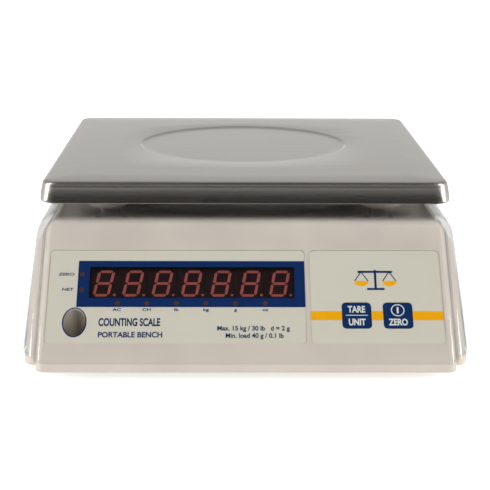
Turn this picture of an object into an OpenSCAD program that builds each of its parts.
// Counting scale: a bench scale with a square stainless platter, a sloping display and key panel,
// a single-point load cell inside and a clear in-use cover over its housing.
// Millimetres. X runs to the right, Y to the back, Z up; the origin is on the bench, under the middle.

/* [Platter] */
// Width and depth of the platter at the foot of its skirt
platter_w = 292; // [280:1:296]
// Height of the platter's skirt
skirt_h = 15.5; // [12:0.5:17]
// Thickness of the stainless sheet
sheet_t = 1.5; // [1.2:0.1:2]
// Radius of the platter's corners seen from above
platter_corner_r = 12; // [8:1:20]
// Radius of the pressed disc in the platter
dish_r = 82.2; // [60:0.1:90]
// Depth of the pressed disc
dish_depth = 1; // [0.4:0.1:1.2]
// Distance of the disc's centre behind the platter's centre
dish_offset = 13; // [0:1:20]

/* [Housing] */
// Height of the weighing surface above the bench
scale_h = 116; // [114:1:120]
// Height of the housing's flat top above the bench
housing_top = 90; // [88:1:92]
// Height of the housing's low side shoulders above the bench
shoulder_z = 81; // [78:1:84]
// Height of the joint between the upper housing and the lower case
joint_z = 13.5; // [13:0.5:15]
// Clearance between the bench and the underside of the lower case
ground_gap = 6; // [6:0.5:7]
// Width of the housing at its foot
housing_w = 297.6; // [296:0.2:299]
// Distance of the housing's back wall behind the origin
housing_back = 187; // [185:1:188]
// Width of the block that carries the panel
panel_block_w = 279; // [277:1:282]
// Distance that the wide body stands back from the panel's face, along Y
shoulder_setback = 14; // [12:1:16]
// Wall thickness of both housing shells
wall_t = 2.5; // [2:0.1:3]
// Air gap between the housing and the clear cover
cover_gap = 1.2; // [0.8:0.1:1.5]
// Thickness of the clear cover
cover_t = 0.8; // [0.6:0.1:1]

/* [Panel] */
// Angle of the panel from the bench
panel_angle = 45; // [45:1:45]
// Height at which the panel's plane crosses the scale's middle
panel_rise = 200; // [199:0.5:201]
// Depth of the pockets that the printed overlays lie in
pocket_depth = 0.8; // [0.6:0.1:1]
// Thickness of the overlays
overlay_t = 0.5; // [0.4:0.1:0.6]
// Pitch of the display's digits
digit_pitch = 20; // [20:0.1:20.2]
// Width of a key
key_w = 19.3; // [18:0.1:20]
// Travel of a key
key_travel = 0.6; // [0.4:0.1:0.8]

/* [Mechanism] */
// Downward travel of the platter at the overload stops
overload_travel = 0.8; // [0.6:0.1:1]
// Distance from the platter's centre to a support post, along X and along Y
post_reach = 100; // [90:1:104]
// Length of the load cell
cell_l = 130; // [130:1:134]
// Distance that a levelling foot can be screwed out
foot_travel = 5; // [3:0.5:6]

/* [Hidden] */
digit_nodes = [for (i = [1:7]) str("digit_", i)];
foot_names = ["front_left", "front_right", "back_left", "back_right"];
$fn = 48;

eps = 0.01;
big = 400;
// Small step that keeps two cutting prisms from sharing a plane
step = 0.3;

// Platter
platter_y = 46;
platter_draft = 1.7;
bend_r = 3;
pad_top = scale_h - sheet_t;

// Housing
block_edge_r = 6;
block_top_r = 10;
shoulder_r = 8;
cover_shoulder_r = 13;
corner_r = 9;
crease_r = 11;
side_lean = 3.8;
front_y = joint_z - panel_rise;

// Panel frame: origin at the middle of the digit row, Z along the panel's outward normal
panel_y = -144.5;
panel_z = panel_y + panel_rise;
display_x = [-134.5, 40.5];
keypad_x = [43.5, 133.5];
pocket_s = [-46.1, 25.9];
pocket_r = 3;
window_x = [-106.5, 33];
window_s = [-11.6, 12.6];
digit_x0 = -96.7;
digit_size = [19.9, 27.7, 8];
digit_top = -2.9;
board_t = 1.6;
board_top = digit_top - digit_size.z;
panel_board_x = [-118, 121];
panel_board_s = [-19, 20];
led_r = 1.5;
led_row_s = -15.6;
led_row_x = -87;
status_leds = [[-111.5, 6.7], [-111.5, -5.3]];
row_leds = [for (i = [0:5]) [led_row_x + i * digit_pitch, led_row_s]];
key_s = -24.7;
key_xs = [74.6, 102.4];
key_corner_r = 2.5;
key_gap = 0.35;
key_wing_x = [56, 121];
key_wing_s = [-38, -10];
switch_size = [6, 6, 5];
stem_r = 1.7;
panel_screws = [[-114, 17.8], [34, 17.8], [-98, -16.5], [34, -16.5], [59, key_s], [118, key_s]];
panel_boss_r = 2.6;

// Bull's-eye level: a vertical vial seen through the sloping panel
level_x = -115.1;
level_y = -165.6;
level_bore_r = 7.3;
level_cup_r = 9.4;
level_floor_z = 16;
level_top_z = 22;

// Mechanism
floor_z = ground_gap + 3;
rim_t = 3.4;
rim_inset = -0.4;
seal_inset = [1.4, 2.9];
seal_h = 1.2;
plate_t = 2;
cell_w = 30;
cell_h = 22;
cell_z = floor_z + plate_t + 6;
spider_z = cell_z + cell_h + 5;
spider_t = 8;
cell_bolt_x = [cell_l / 2 - 22, cell_l / 2 - 8];
post_r = 8;
post_hole_r = 12;
collar_r = 15;
cap_r = 12;
cap_h = 8.5;
stop_reach = 75;
posts = [for (x = [-1, 1], y = [-1, 1]) [x * post_reach, platter_y + y * post_reach]];

// Fasteners and feet
case_screw_xy = [[-95, -172], [122, -172], [-136, -30], [136, -30], [-130, 170], [130, 170]];
case_screw_top = [22, 22, 30, 30, 30, 30];
base_screw_xy = [for (x = [-24, 24], y = [-85, 85]) [x, platter_y + y]];
feet_xy = [[-115, -135], [115, -135], [-115, 150], [115, 150]];
foot_tower_r = 9;
foot_tower_z = 24;
foot_insert_z = [8, 22];

// Battery and boards
battery_size = [70, 102, 47];
battery_x = -106;
battery_z = floor_z + 1;
door_size = [76, 120, 2];
door_screw_y = platter_y - 55.7;
strap_x = -62;
strap_y = platter_y + 30;
strap_w = 16;
strap_t = 1.2;
main_board_x = [80, 140];
main_board_y = [platter_y - 45, platter_y + 45];
main_board_z = 15;
main_board_screws = [for (x = [84, 136], y = [-41, 41]) [x, platter_y + y]];
inlet_x = 60;
inlet_z = 50;

// Cable routes inside the housing
cell_cable_route = [
    [-45, 30.7, 28], [-44, 20, 27], [-20, -2, 24], [24, -12, 22], [60, 0, 22], [76, 24, 21], [82, 43, 20], [87.4, 46, 20]
];
battery_lead_route = [
    [-82, 97.3, 42], [-80, 106, 41], [-60, 112, 36], [-10, 100, 28], [40, 92, 24], [70, 84, 22], [81, 76, 21],
    [87.4, 74, 20]
];
display_cable_route = [
    [91.6, 7.8, 20], [91.6, -16, 20], [84, -56, 22], [54, -96, 32], [30, -118, 43], [28, -128.4, 53.6]
];
inlet_lead_route = [
    [60, 172.3, 50], [61, 160, 49], [80, 140, 36], [100, 118, 28], [99, 98, 24], [93, 86, 21], [91.6, 80.2, 20]
];

// Outline helpers ---------------------------------------------------------------------------

function unit(v) = v / norm(v);

// Points of the arc that rounds the corner p between the points before and after it
function fillet(before, p, after, r, n) =
    let (
        u = unit(before - p),
        v = unit(after - p),
        half = acos(max(-1, min(1, u * v))) / 2,
        c = p + unit(u + v) * r / sin(half),
        a0 = atan2((p + u * r / tan(half) - c).y, (p + u * r / tan(half) - c).x),
        a1 = atan2((p + v * r / tan(half) - c).y, (p + v * r / tan(half) - c).x),
        turn = a1 - a0 > 180 ? a1 - a0 - 360 : a1 - a0 < -180 ? a1 - a0 + 360 : a1 - a0
    )
    [for (i = [0:n]) c + r * [cos(a0 + turn * i / n), sin(a0 + turn * i / n)]];

// A closed outline whose corners are rounded by the radii given, 0 for a sharp one
function rounded(pts, radii, n = 6) =
    let (k = len(pts))
    [for (i = [0:k - 1])
        each radii[i] > 0 ? fillet(pts[(i + k - 1) % k], pts[i], pts[(i + 1) % k], radii[i], n) : [pts[i]]];

function box_pts(x0, x1, y0, y1) = [[x0, y0], [x1, y0], [x1, y1], [x0, y1]];

module slab(xs, ys, z0, z1, r = 0, n = 6) {
    translate([0, 0, z0])
        linear_extrude(z1 - z0)
            polygon(rounded(box_pts(xs[0], xs[1], ys[0], ys[1]), [r, r, r, r], n));
}

// A prism along X of an outline drawn in Y and Z
module along_x(pts, half) {
    translate([-half, 0, 0])
        rotate([90, 0, 90])
            linear_extrude(2 * half)
                polygon(pts);
}

// A prism along Y of an outline drawn in X and Z
module along_y(pts, y0, y1) {
    translate([0, y1, 0])
        rotate([90, 0, 0])
            linear_extrude(y1 - y0)
                polygon(pts);
}

module rod(r, z0, z1) {
    translate([0, 0, z0])
        cylinder(r = r, h = z1 - z0);
}

module at_each(places) {
    for (p = places)
        translate([p.x, p.y, 0])
            children();
}

// Places its children in the panel's frame
module on_panel() {
    translate([0, panel_y, panel_z])
        rotate([panel_angle, 0, 0])
            children();
}

// A round tube swept along a route
function route_point(p, i, t) =
    let (
        a = p[max(i - 1, 0)],
        b = p[i],
        c = p[i + 1],
        d = p[min(i + 2, len(p) - 1)]
    )
    0.5 * (2 * b + (c - a) * t + (2 * a - 5 * b + 4 * c - d) * t * t + (3 * b - a - 3 * c + d) * t * t * t);

function smooth_route(p, n) = concat(
    [for (i = [0:len(p) - 2], k = [0:n - 1]) route_point(p, i, k / n)],
    [p[len(p) - 1]]
);

module cable(route, r, sides = 8, n = 3) {
    p = smooth_route(route, n);
    k = len(p);
    rings = [for (i = [0:k - 1])
        let (
            t = unit(p[min(i + 1, k - 1)] - p[max(i - 1, 0)]),
            s = unit(cross(t, [0, 0, 1])),
            u = cross(s, t)
        )
        for (j = [0:sides - 1]) p[i] + r * (s * cos(360 * j / sides) + u * sin(360 * j / sides))];
    walls = [for (i = [0:k - 2], j = [0:sides - 1])
        let (a = i * sides + j, b = i * sides + (j + 1) % sides)
        [a, b, b + sides, a + sides]];
    polyhedron(
        points = rings,
        faces = concat(
            walls,
            [[for (j = [sides - 1:-1:0]) j]],
            [[for (j = [0:sides - 1]) (k - 1) * sides + j]]
        ),
        convexity = 6
    );
}

// Housing form ------------------------------------------------------------------------------

// Side outline of a body whose sloping front stands back by the setback; grow moves every face outwards
function side_outline(setback, grow, top_z, bottom) =
    let (
        rise = panel_rise - setback + grow * sqrt(2),
        top = top_z + grow,
        back = housing_back + grow
    )
    rounded(
        [[bottom - rise, bottom], [top - rise, top], [back, top], [back, bottom]],
        [0, crease_r + grow, block_edge_r + grow, 0]
    );

// Front outline with round shoulders, leaning in by the slant given for each millimetre of height
function front_outline(half, slant, round_r, top_z, bottom) =
    let (
        top = top_z + step,
        lean = slant * (top - bottom)
    )
    rounded(
        [[-half, bottom], [half, bottom], [half - lean, top], [-half + lean, top]],
        [0, 0, round_r, round_r]
    );

// A prism parallel to the panel that rounds the long edges of a sloping face
module slope_prism(half, setback, grow, edge_r) {
    lift = grow - setback / sqrt(2) + step;
    on_panel()
        along_y(rounded(box_pts(-half, half, -big, lift), [0, 0, edge_r, edge_r]), -big, big);
}

module panel_block(grow, bottom) {
    half = panel_block_w / 2 + grow;
    intersection() {
        along_x(side_outline(0, grow, housing_top, bottom), panel_block_w);
        along_y(front_outline(half, 0, block_top_r + grow, housing_top + grow, bottom), -big, big);
        slope_prism(half, 0, grow, block_edge_r + grow);
    }
}

module wide_body(grow, round_r, top_z, bottom) {
    half = housing_w / 2 + grow;
    slant = side_lean / (housing_top - joint_z);
    intersection() {
        along_x(side_outline(shoulder_setback, grow, top_z, bottom), housing_w);
        along_y(front_outline(half, slant, round_r, top_z + grow, bottom), -big, big);
        slope_prism(half, shoulder_setback, grow, corner_r + grow);
        slab([-half, half], [-big, housing_back + grow + step], 0, big, corner_r);
    }
}

// The panel's block and the wide body behind it, whose top stands at the height given
module housing_form(grow, round_r, top_z, bottom) {
    panel_block(grow, bottom);
    wide_body(grow, round_r, top_z, bottom);
}

// Outline of the housing at the joint between its shells, drawn inwards by inset
module plan_outline(inset) {
    block = panel_block_w / 2 - inset;
    half = housing_w / 2 - inset;
    polygon(rounded(
        box_pts(-block, block, front_y + inset, 0),
        [block_edge_r, block_edge_r, 0, 0]
    ));
    polygon(rounded(
        box_pts(-half, half, front_y + shoulder_setback + inset, housing_back - inset),
        [corner_r, corner_r, corner_r, corner_r]
    ));
}

module plan_slab(inset, z0, z1) {
    translate([0, 0, z0])
        linear_extrude(z1 - z0)
            plan_outline(inset);
}

// Platter -----------------------------------------------------------------------------------

module platter_form(inset, bottom) {
    half = platter_w / 2 - inset;
    top = scale_h - inset;
    slope = platter_draft;
    outline = rounded(
        [[-half, bottom], [half, bottom], [half - slope, top], [-half + slope, top]],
        [0, 0, bend_r, bend_r],
        5
    );
    translate([0, platter_y, 0])
        intersection() {
            along_y(outline, -big, big);
            rotate([0, 0, 90])
                along_y(outline, -big, big);
            slab([-half - step, half + step], [-half - step, half + step], 0, big, platter_corner_r - inset);
        }
}

module platter() {
    dish_y = platter_y + dish_offset;
    color([0.68, 0.67, 0.65])
        difference() {
            union() {
                difference() {
                    platter_form(0, scale_h - skirt_h);
                    platter_form(sheet_t, scale_h - skirt_h - 1);
                }
                translate([0, dish_y, 0])
                    rod(dish_r + sheet_t, scale_h - sheet_t - dish_depth, scale_h - sheet_t + eps);
            }
            translate([0, dish_y, 0])
                rod(dish_r, scale_h - dish_depth, scale_h + 1);
        }
}

// Rings under the platter that keep it centred on the post caps
module locating_rings() {
    color([0.6, 0.6, 0.6])
        at_each(posts)
            difference() {
                rod(cap_r + 2.2, pad_top - 4, pad_top);
                rod(cap_r + 0.7, pad_top - 5, pad_top + 1);
            }
}

// Weighing frame ----------------------------------------------------------------------------

module spider() {
    arm = norm([post_reach, post_reach]);
    color([0.55, 0.55, 0.56])
        translate([0, 0, spider_z])
            linear_extrude(spider_t)
                difference() {
                    union() {
                        translate([0, platter_y])
                            for (a = [45, 135])
                                rotate(a)
                                    square([2 * arm, 20], center = true);
                        translate([-28, platter_y - 21])
                            square([28 + cell_l / 2, 42]);
                        for (p = posts)
                            translate(p)
                                circle(r = 13);
                    }
                    for (p = posts)
                        translate(p)
                            circle(r = 3.1);
                    for (x = cell_bolt_x)
                        translate([x, platter_y])
                            circle(r = 3.2);
                }
}

module support_posts() {
    color([0.75, 0.75, 0.77])
        at_each(posts)
            union() {
                rod(3, spider_z + 0.5, spider_z + spider_t);
                rod(post_r, spider_z + spider_t, pad_top - cap_h);
                rod(4, pad_top - cap_h, pad_top - 3);
            }
}

module post_caps() {
    color([0.1, 0.1, 0.1])
        at_each(posts)
            difference() {
                rod(cap_r, pad_top - cap_h, pad_top);
                rod(4.1, pad_top - cap_h - 1, pad_top - 2.8);
            }
}

module cell_block(xs, z0, z1) {
    difference() {
        slab(xs, [platter_y - cell_w / 2, platter_y + cell_w / 2], z0, z1, 1);
        for (x = cell_bolt_x)
            translate([sign(xs[0] + xs[1]) * x, platter_y, 0])
                rod(3.2, z0 - 1, z1 + 1);
    }
}

module upper_spacer() {
    color([0.8, 0.8, 0.8])
        cell_block([cell_l / 2 - 30, cell_l / 2], cell_z + cell_h, spider_z);
}

module lower_spacer() {
    color([0.8, 0.8, 0.8])
        cell_block([-cell_l / 2, -cell_l / 2 + 30], floor_z + plate_t, cell_z);
}

module upper_bolts() {
    color([0.3, 0.3, 0.32])
        for (x = cell_bolt_x)
            translate([x, platter_y, 0])
                difference() {
                    union() {
                        rod(3, cell_z + cell_h - 10, spider_z + spider_t);
                        rod(5, spider_z + spider_t, spider_z + spider_t + 6);
                    }
                    translate([0, 0, spider_z + spider_t + 3])
                        cylinder(r = 2.8, h = 4, $fn = 6);
                }
}

module lower_bolts() {
    color([0.3, 0.3, 0.32])
        for (x = cell_bolt_x)
            translate([-x, platter_y, 0])
                difference() {
                    union() {
                        rod(3, floor_z - 0.2, cell_z + 10);
                        rod(5.2, ground_gap + 0.2, floor_z - 0.2);
                    }
                    translate([0, 0, ground_gap - 1])
                        cylinder(r = 2.8, h = 3, $fn = 6);
                }
}

// Single-point load cell with its pair of joined holes
module load_cell() {
    mid_z = cell_z + cell_h / 2;
    color([0.78, 0.79, 0.8])
        difference() {
            slab([-cell_l / 2, cell_l / 2], [platter_y - cell_w / 2, platter_y + cell_w / 2],
                cell_z, cell_z + cell_h, 0.6, 2);
            for (x = [-16, 16])
                translate([x, platter_y + cell_w, mid_z])
                    rotate([90, 0, 0])
                        cylinder(r = 9, h = 2 * cell_w);
            translate([-16, platter_y - cell_w, mid_z - 3])
                cube([32, 2 * cell_w, 6]);
            for (x = cell_bolt_x) {
                translate([x, platter_y, 0])
                    rod(3.05, cell_z + cell_h - 11, cell_z + cell_h + 1);
                translate([-x, platter_y, 0])
                    rod(3.05, cell_z - 1, cell_z + 11);
            }
        }
}

module base_plate() {
    y = platter_y;
    color([0.5, 0.52, 0.54])
        difference() {
            union() {
                slab([-cell_l / 2 - 1, cell_l / 2 + 1], [y - 20, y + 20], floor_z, floor_z + plate_t, 3);
                slab([-30, 30], [y - 92, y + 92], floor_z, floor_z + plate_t, 3);
                for (d = [-stop_reach, stop_reach])
                    slab([-88, 88], [y + d - 13, y + d + 13], floor_z, floor_z + plate_t, 3);
            }
            for (x = cell_bolt_x)
                translate([-x, y, 0])
                    rod(3.2, floor_z - 1, floor_z + plate_t + 1);
            at_each(base_screw_xy)
                rod(2.1, floor_z - 1, floor_z + plate_t + 1);
            at_each(stop_xy())
                rod(3.1, floor_z - 1, floor_z + plate_t + 1);
        }
}

function stop_xy() = [for (x = [-1, 1], y = [-1, 1]) [x * stop_reach, platter_y + y * stop_reach]];

// Pan-head screws that hold the base plate and the battery strap to the lower case
module chassis_screws() {
    color([0.7, 0.7, 0.7]) {
        at_each(base_screw_xy)
            union() {
                rod(1.9, floor_z - 2, floor_z + plate_t);
                rod(3.8, floor_z + plate_t, floor_z + plate_t + 2);
            }
        translate([strap_x, strap_y, 0])
            union() {
                rod(1.9, floor_z - 2, floor_z + strap_t);
                rod(3.8, floor_z + strap_t, floor_z + strap_t + 2);
            }
    }
}

// Screws that catch the spider's arms when the platter is overloaded
module overload_stops() {
    color([0.7, 0.7, 0.7])
        at_each(stop_xy())
            union() {
                rod(3, floor_z + 0.2, floor_z + plate_t);
                cylinder_nut(floor_z + plate_t);
                rod(4, floor_z + plate_t + 5, spider_z - overload_travel - 0.05);
            }
}

module cylinder_nut(z) {
    translate([0, 0, z])
        cylinder(r = 7, h = 5, $fn = 6);
}

// Housing shells ----------------------------------------------------------------------------

module pocket(xs, depth, top = 3) {
    on_panel()
        slab(xs, pocket_s, -depth, top, pocket_r);
}

module key_hole(x, margin, z0, z1) {
    half = key_w / 2 + margin;
    slab([x - half, x + half], [key_s - half, key_s + half], z0, z1, key_corner_r + margin, 4);
}

module upper_housing() {
    color([0.84, 0.82, 0.78])
        difference() {
            union() {
                difference() {
                    housing_form(0, shoulder_r, shoulder_z, joint_z);
                    housing_form(-wall_t, shoulder_r - wall_t, shoulder_z, joint_z - 1);
                }
                at_each(posts)
                    rod(collar_r, housing_top - wall_t, housing_top + 4);
                intersection() {
                    housing_form(-wall_t / 2, shoulder_r - wall_t / 2, shoulder_z, joint_z);
                    union() {
                        for (p = case_screw_xy)
                            translate([p.x, p.y, 0])
                                rod(5, joint_z, big);
                        on_panel()
                            at_each(panel_screws)
                                rod(panel_boss_r, board_top, 0);
                    }
                }
            }
            pocket(display_x, pocket_depth);
            pocket(keypad_x, pocket_depth);
            on_panel() {
                slab(window_x, window_s, -wall_t - 1, 1);
                at_each(concat(status_leds, row_leds))
                    rod(led_r + 0.2, -wall_t - 1, 1);
                for (x = key_xs)
                    key_hole(x, key_gap + 0.3, -wall_t - 1, 1);
                at_each(panel_screws)
                    rod(1.1, board_top - 1, -wall_t);
            }
            translate([level_x, level_y, 0])
                rod(level_cup_r + 0.1, 0, big);
            at_each(posts)
                rod(post_hole_r, housing_top - wall_t - 1, housing_top + 5);
            for (i = [0:len(case_screw_xy) - 1])
                translate([case_screw_xy[i].x, case_screw_xy[i].y, 0])
                    rod(2, joint_z - 1, case_screw_top[i]);
            translate([inlet_x, housing_back - 10, inlet_z])
                rotate([-90, 0, 0])
                    cylinder(r = 5.6, h = 20);
        }
}

module lower_case() {
    opening = [battery_size.x + 1, battery_size.y + 1];
    color([0.8, 0.78, 0.74])
        difference() {
            union() {
                difference() {
                    plan_slab(rim_inset, ground_gap, joint_z);
                    plan_slab(rim_t, floor_z, joint_z + 1);
                }
                at_each(case_screw_xy)
                    rod(6.5, ground_gap, joint_z - 0.05);
                at_each(feet_xy)
                    rod(foot_tower_r, ground_gap, foot_tower_z);
                for (y = [-1, 1])
                    slab([battery_x - 30, battery_x + 30],
                        [platter_y + y * (battery_size.y / 2 + 2) - 1, platter_y + y * (battery_size.y / 2 + 2) + 1],
                        floor_z - 1, floor_z + 22);
                at_each(main_board_screws)
                    rod(3.5, floor_z - 1, main_board_z);
                translate([battery_x, door_screw_y, 0])
                    rod(4, floor_z - 1, floor_z + 5);
            }
            seal_ring(0.05, 1);
            at_each(case_screw_xy) {
                rod(2.2, ground_gap - 1, joint_z + 1);
                rod(4.2, ground_gap - 1, ground_gap + 4);
            }
            at_each(feet_xy) {
                rod(6, foot_insert_z[0], foot_tower_z + 1);
                rod(4.3, ground_gap - 1, foot_insert_z[0] + 1);
            }
            at_each(main_board_screws)
                rod(1.2, floor_z, main_board_z + 1);
            at_each(base_screw_xy)
                rod(2, floor_z - 2.2, floor_z + 1);
            translate([strap_x, strap_y, 0])
                rod(2, floor_z - 2.2, floor_z + 1);
            translate([battery_x, door_screw_y, 0])
                rod(1.5, ground_gap, floor_z + 4.5);
            for (x = cell_bolt_x)
                translate([-x, platter_y, 0])
                    rod(5.6, ground_gap - 1, floor_z + 1);
            translate([battery_x, platter_y, 0]) {
                slab([-opening.x / 2, opening.x / 2], [-opening.y / 2, opening.y / 2],
                    ground_gap - 1, floor_z + 1);
                slab([-door_size.x / 2 - 0.3, door_size.x / 2 + 0.3],
                    [-door_size.y / 2 - 0.3, door_size.y / 2 + 0.3],
                    ground_gap - 1, ground_gap + door_size.z);
            }
        }
}

// Ring in the rim's groove that seals the joint between the shells
module seal_ring(play, over) {
    difference() {
        plan_slab(seal_inset[0] - play, joint_z - seal_h, joint_z + over);
        plan_slab(seal_inset[1] + play, joint_z - seal_h - 1, joint_z + over + 1);
    }
}

module case_seal() {
    color([0.15, 0.15, 0.15])
        seal_ring(0, 0);
}

module case_screws() {
    color([0.7, 0.7, 0.7])
        for (i = [0:len(case_screw_xy) - 1])
            translate([case_screw_xy[i].x, case_screw_xy[i].y, 0])
                union() {
                    rod(1.9, ground_gap + 3.6, case_screw_top[i] - 1);
                    rod(3.8, ground_gap + 1.4, ground_gap + 3.9);
                }
}

// Clear cover formed over the housing, with openings for the posts and the power inlet
module clear_cover() {
    outer = cover_gap + cover_t;
    hem = front_hem();
    color([0.9, 0.95, 0.95, 0.25])
        difference() {
            housing_form(outer, cover_shoulder_r, housing_top, hem);
            housing_form(cover_gap, cover_shoulder_r - cover_t, housing_top, hem - 1);
            at_each(posts)
                rod(collar_r + 1.5, housing_top - 2, housing_top + 6);
            translate([inlet_x, housing_back - 3, inlet_z])
                rotate([-90, 0, 0])
                    cylinder(r = 12, h = 20);
        }
}

// Height of the cover's lower edge, where its sloping front reaches the front of the platter's square
function front_hem() = panel_rise - 190 + (cover_gap + cover_t) * sqrt(2);

// Panel -------------------------------------------------------------------------------------

module overlay(xs) {
    slab([xs[0] + 0.15, xs[1] - 0.15], [pocket_s[0] + 0.15, pocket_s[1] - 0.15],
        -pocket_depth, overlay_t - pocket_depth, pocket_r);
}

module display_overlay() {
    color([0.85, 0.85, 0.8])
        difference() {
            on_panel()
                overlay(display_x);
            on_panel() {
                slab(window_x, window_s, -2, 1);
                at_each(concat(status_leds, row_leds))
                    rod(led_r + 0.2, -2, 1);
            }
            translate([level_x, level_y, 0])
                rod(level_bore_r, 0, big);
        }
}

module keypad_overlay() {
    color([0.85, 0.85, 0.8])
        on_panel()
            difference() {
                overlay(keypad_x);
                for (x = key_xs)
                    key_hole(x, key_gap, -2, 1);
            }
}

module display_filter() {
    gap = 0.15;
    color([0.16, 0.06, 0.08])
        on_panel()
            slab([window_x[0] + gap, window_x[1] - gap], [window_s[0] + gap, window_s[1] - gap],
                -wall_t, overlay_t - pocket_depth - 0.05);
}

// One board behind the panel: a strip for the display with a wing for the keys
module panel_board() {
    color([0.1, 0.35, 0.2])
        on_panel()
            difference() {
                union() {
                    slab(panel_board_x, panel_board_s, board_top - board_t, board_top, 1);
                    slab(key_wing_x, key_wing_s, board_top - board_t, board_top, 1);
                }
                at_each(panel_screws)
                    rod(1.3, board_top - board_t - 1, board_top + 1);
            }
}

module digit(i) {
    x = digit_x0 + (i - 1) * digit_pitch;
    color([0.12, 0.1, 0.1])
        on_panel()
            slab([x - digit_size.x / 2, x + digit_size.x / 2], [-digit_size.y / 2 + 1, digit_size.y / 2 + 1],
                board_top, digit_top);
}

module led_body() {
    rod(led_r, board_top, overlay_t - pocket_depth - 0.4);
}

module indicator_leds() {
    color([0.35, 0.12, 0.1])
        on_panel()
            at_each(concat(status_leds, row_leds))
                led_body();
}

module tact_switches() {
    color([0.15, 0.15, 0.16])
        on_panel()
            for (x = key_xs)
                translate([x, key_s, 0])
                    difference() {
                        slab([-switch_size.x / 2, switch_size.x / 2], [-switch_size.y / 2, switch_size.y / 2],
                            board_top, board_top + switch_size.z);
                        rod(stem_r + 0.1, board_top + 1, board_top + switch_size.z + 1);
                    }
}

module board_screws() {
    color([0.7, 0.7, 0.7]) {
        on_panel()
            at_each(panel_screws)
                union() {
                    rod(1, board_top - board_t, -5);
                    rod(2.4, board_top - board_t - 1.6, board_top - board_t);
                }
        at_each(main_board_screws)
            union() {
                rod(1.1, floor_z + 1, main_board_z + board_t);
                rod(2.4, main_board_z + board_t, main_board_z + board_t + 1.6);
            }
    }
}

// A square key: cap, retaining flange and the stem that works its switch
module key(x) {
    half = key_w / 2;
    top = overlay_t - pocket_depth - 0.05;
    color([0.05, 0.17, 0.34])
        on_panel()
            union() {
                slab([x - half, x + half], [key_s - half, key_s + half], -wall_t - 0.5, top, key_corner_r, 4);
                slab([x - half - 2, x + half + 2], [key_s - half - 2, key_s + half + 2],
                    -wall_t - 1.4, -wall_t - 0.3, 1, 2);
                translate([x, key_s, 0])
                    rod(stem_r, board_top + switch_size.z - 0.8, -wall_t);
            }
}

// Level -------------------------------------------------------------------------------------

module level_cup() {
    color([0.3, 0.3, 0.31])
        intersection() {
            translate([level_x, level_y, 0])
                difference() {
                    rod(level_cup_r, level_floor_z - 2, housing_top);
                    rod(level_bore_r, level_floor_z, big);
                }
            housing_form(-pocket_depth - 0.05, shoulder_r, shoulder_z, joint_z - 2);
        }
}

// Acrylic vial with a hollow for the fluid
module level_vial() {
    color([0.85, 0.9, 0.85, 0.4])
        translate([level_x, level_y, 0])
            difference() {
                rod(level_bore_r - 0.1, level_floor_z, level_top_z);
                rod(level_bore_r - 1.6, level_floor_z + 2, level_top_z - 1.5);
            }
}

module level_fluid() {
    color([0.75, 0.8, 0.45, 0.5])
        translate([level_x, level_y, 0])
            difference() {
                rod(level_bore_r - 1.65, level_floor_z + 2.05, level_top_z - 1.55);
                rod(2.6, level_top_z - 3, level_top_z);
            }
}

// Electronics -------------------------------------------------------------------------------

module main_board() {
    color([0.1, 0.35, 0.2])
        difference() {
            slab(main_board_x, main_board_y, main_board_z, main_board_z + board_t, 2);
            at_each(main_board_screws)
                rod(1.3, main_board_z - 1, main_board_z + board_t + 1);
        }
}

module component(x, y, size) {
    translate([x - size.x / 2, platter_y + y - size.y / 2, main_board_z + board_t])
        cube(size);
}

module board_components() {
    color([0.12, 0.12, 0.13]) {
        component(118, 0, [14, 14, 2]);
        component(116, 24, [8, 20, 3]);
        component(116, -24, [10, 12, 3]);
        component(130, 12, [8, 8, 12]);
        component(91.6, -32, [8, 12, 6]);
        component(91.6, 28, [8, 12, 6]);
        component(91.6, 0, [8, 20, 6]);
        translate([130, platter_y - 20, main_board_z + board_t])
            cylinder(r = 5, h = 14);
    }
}

module beeper() {
    color([0.1, 0.1, 0.1])
        translate([104, platter_y + 38, main_board_z + board_t])
            difference() {
                cylinder(r = 6, h = 9);
                translate([0, 0, 6])
                    cylinder(r = 1, h = 4);
            }
}

module display_cable() {
    color([0.5, 0.5, 0.52])
        cable(display_cable_route, 2);
}

module load_cell_cable() {
    color([0.15, 0.15, 0.15])
        cable(cell_cable_route, 2);
}

module battery_leads() {
    color([0.6, 0.1, 0.1])
        cable(battery_lead_route, 1.8);
}

module inlet_leads() {
    color([0.1, 0.1, 0.1])
        cable(inlet_lead_route, 1.8);
}

module battery() {
    half = battery_size / 2;
    color([0.16, 0.16, 0.17])
        slab([battery_x - half.x, battery_x + half.x], [platter_y - half.y, platter_y + half.y],
            battery_z, battery_z + battery_size.z, 2);
}

module battery_strap() {
    left = battery_x - battery_size.x / 2 - 0.4;
    right = battery_x + battery_size.x / 2 + 0.4;
    top = battery_z + battery_size.z + 0.4;
    flange = right + 14;
    color([0.6, 0.62, 0.64])
        difference() {
            translate([0, strap_y + strap_w / 2, 0])
                rotate([90, 0, 0])
                    linear_extrude(strap_w)
                        polygon([
                            [left, floor_z + 12], [left, top], [right, top], [right, floor_z], [flange, floor_z],
                            [flange, floor_z + strap_t], [right + strap_t, floor_z + strap_t],
                            [right + strap_t, top + strap_t], [left - strap_t, top + strap_t],
                            [left - strap_t, floor_z + 12]
                        ]);
            translate([strap_x, strap_y, 0])
                rod(2, floor_z - 1, floor_z + strap_t + 1);
        }
}

module battery_door() {
    half = door_size / 2;
    color([0.8, 0.78, 0.74])
        difference() {
            translate([battery_x, platter_y, 0])
                union() {
                    slab([-half.x, half.x], [-half.y, half.y], ground_gap, ground_gap + door_size.z, 1);
                    slab([-30, 30], [-48, 48], ground_gap + door_size.z - eps, battery_z);
                }
            translate([battery_x, door_screw_y, 0]) {
                rod(1.7, ground_gap - 1, floor_z + 1);
                rod(2.9, ground_gap - 1, ground_gap + 1.2);
            }
        }
}

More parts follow.
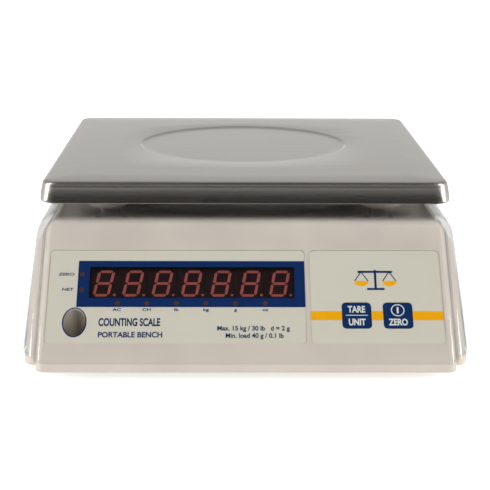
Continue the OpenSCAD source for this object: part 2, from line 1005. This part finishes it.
module battery_door_screw() {
    color([0.7, 0.7, 0.7])
        translate([battery_x, door_screw_y, 0])
            union() {
                rod(1.4, ground_gap + 1.2, floor_z + 4);
                rod(2.6, ground_gap + 0.1, ground_gap + 1.2);
            }
}

module power_inlet() {
    color([0.12, 0.12, 0.12])
        translate([inlet_x, 0, inlet_z])
            difference() {
                union() {
                    translate([-7, housing_back - wall_t - 12, -6])
                        cube([14, 12, 12]);
                    translate([0, housing_back - wall_t - 1, 0])
                        rotate([-90, 0, 0])
                            cylinder(r = 5.4, h = wall_t + 3.5);
                }
                translate([0, housing_back - wall_t - 8, 0])
                    rotate([-90, 0, 0])
                        difference() {
                            cylinder(r = 3, h = 20);
                            cylinder(r = 1, h = 9);
                        }
            }
}

module power_inlet_nut() {
    color([0.75, 0.75, 0.75])
        translate([inlet_x, housing_back, inlet_z])
            rotate([-90, 0, 0])
                difference() {
                    cylinder(r = 8, h = 2, $fn = 6);
                    translate([0, 0, -1])
                        cylinder(r = 5.5, h = 4);
                }
}

// Feet --------------------------------------------------------------------------------------

module foot_inserts() {
    color([0.78, 0.62, 0.3])
        at_each(feet_xy)
            difference() {
                rod(5.95, foot_insert_z[0], foot_insert_z[1]);
                rod(4.06, foot_insert_z[0] - 1, foot_insert_z[1] + 1);
            }
}

module foot_pad(p) {
    color([0.1, 0.1, 0.1])
        translate([p.x, p.y, 0])
            difference() {
                rod(11, 0, 2);
                rod(4.1, 1.2, 3);
            }
}

module foot_screw(p) {
    color([0.2, 0.2, 0.21])
        translate([p.x, p.y, 0])
            difference() {
                union() {
                    rod(4, 1.25, foot_insert_z[1] - 1);
                    rod(12.5, 2.3, ground_gap - 0.3);
                }
                for (a = [0:30:330])
                    rotate([0, 0, a])
                        translate([13.2, 0, 0])
                            rod(1.4, 1, ground_gap + 1);
            }
}

platter();
locating_rings();
spider();
support_posts();
post_caps();
upper_spacer();
upper_bolts();
load_cell();
lower_spacer();
lower_bolts();
base_plate();
chassis_screws();
overload_stops();
upper_housing();
lower_case();
case_seal();
case_screws();
clear_cover();
display_overlay();
keypad_overlay();
display_filter();
panel_board();
for (i = [1:7])
    digit(i);
indicator_leds();
tact_switches();
board_screws();
key(key_xs[0]);  // tare_key
key(key_xs[1]);  // zero_key
level_cup();
level_vial();
level_fluid();
main_board();
board_components();
beeper();
display_cable();
load_cell_cable();
battery();
battery_strap();
battery_leads();
battery_door();
battery_door_screw();
power_inlet();
power_inlet_nut();
inlet_leads();
foot_inserts();
for (i = [0:3])
    foot_pad(feet_xy[i]);
for (i = [0:3])
    foot_screw(feet_xy[i]);
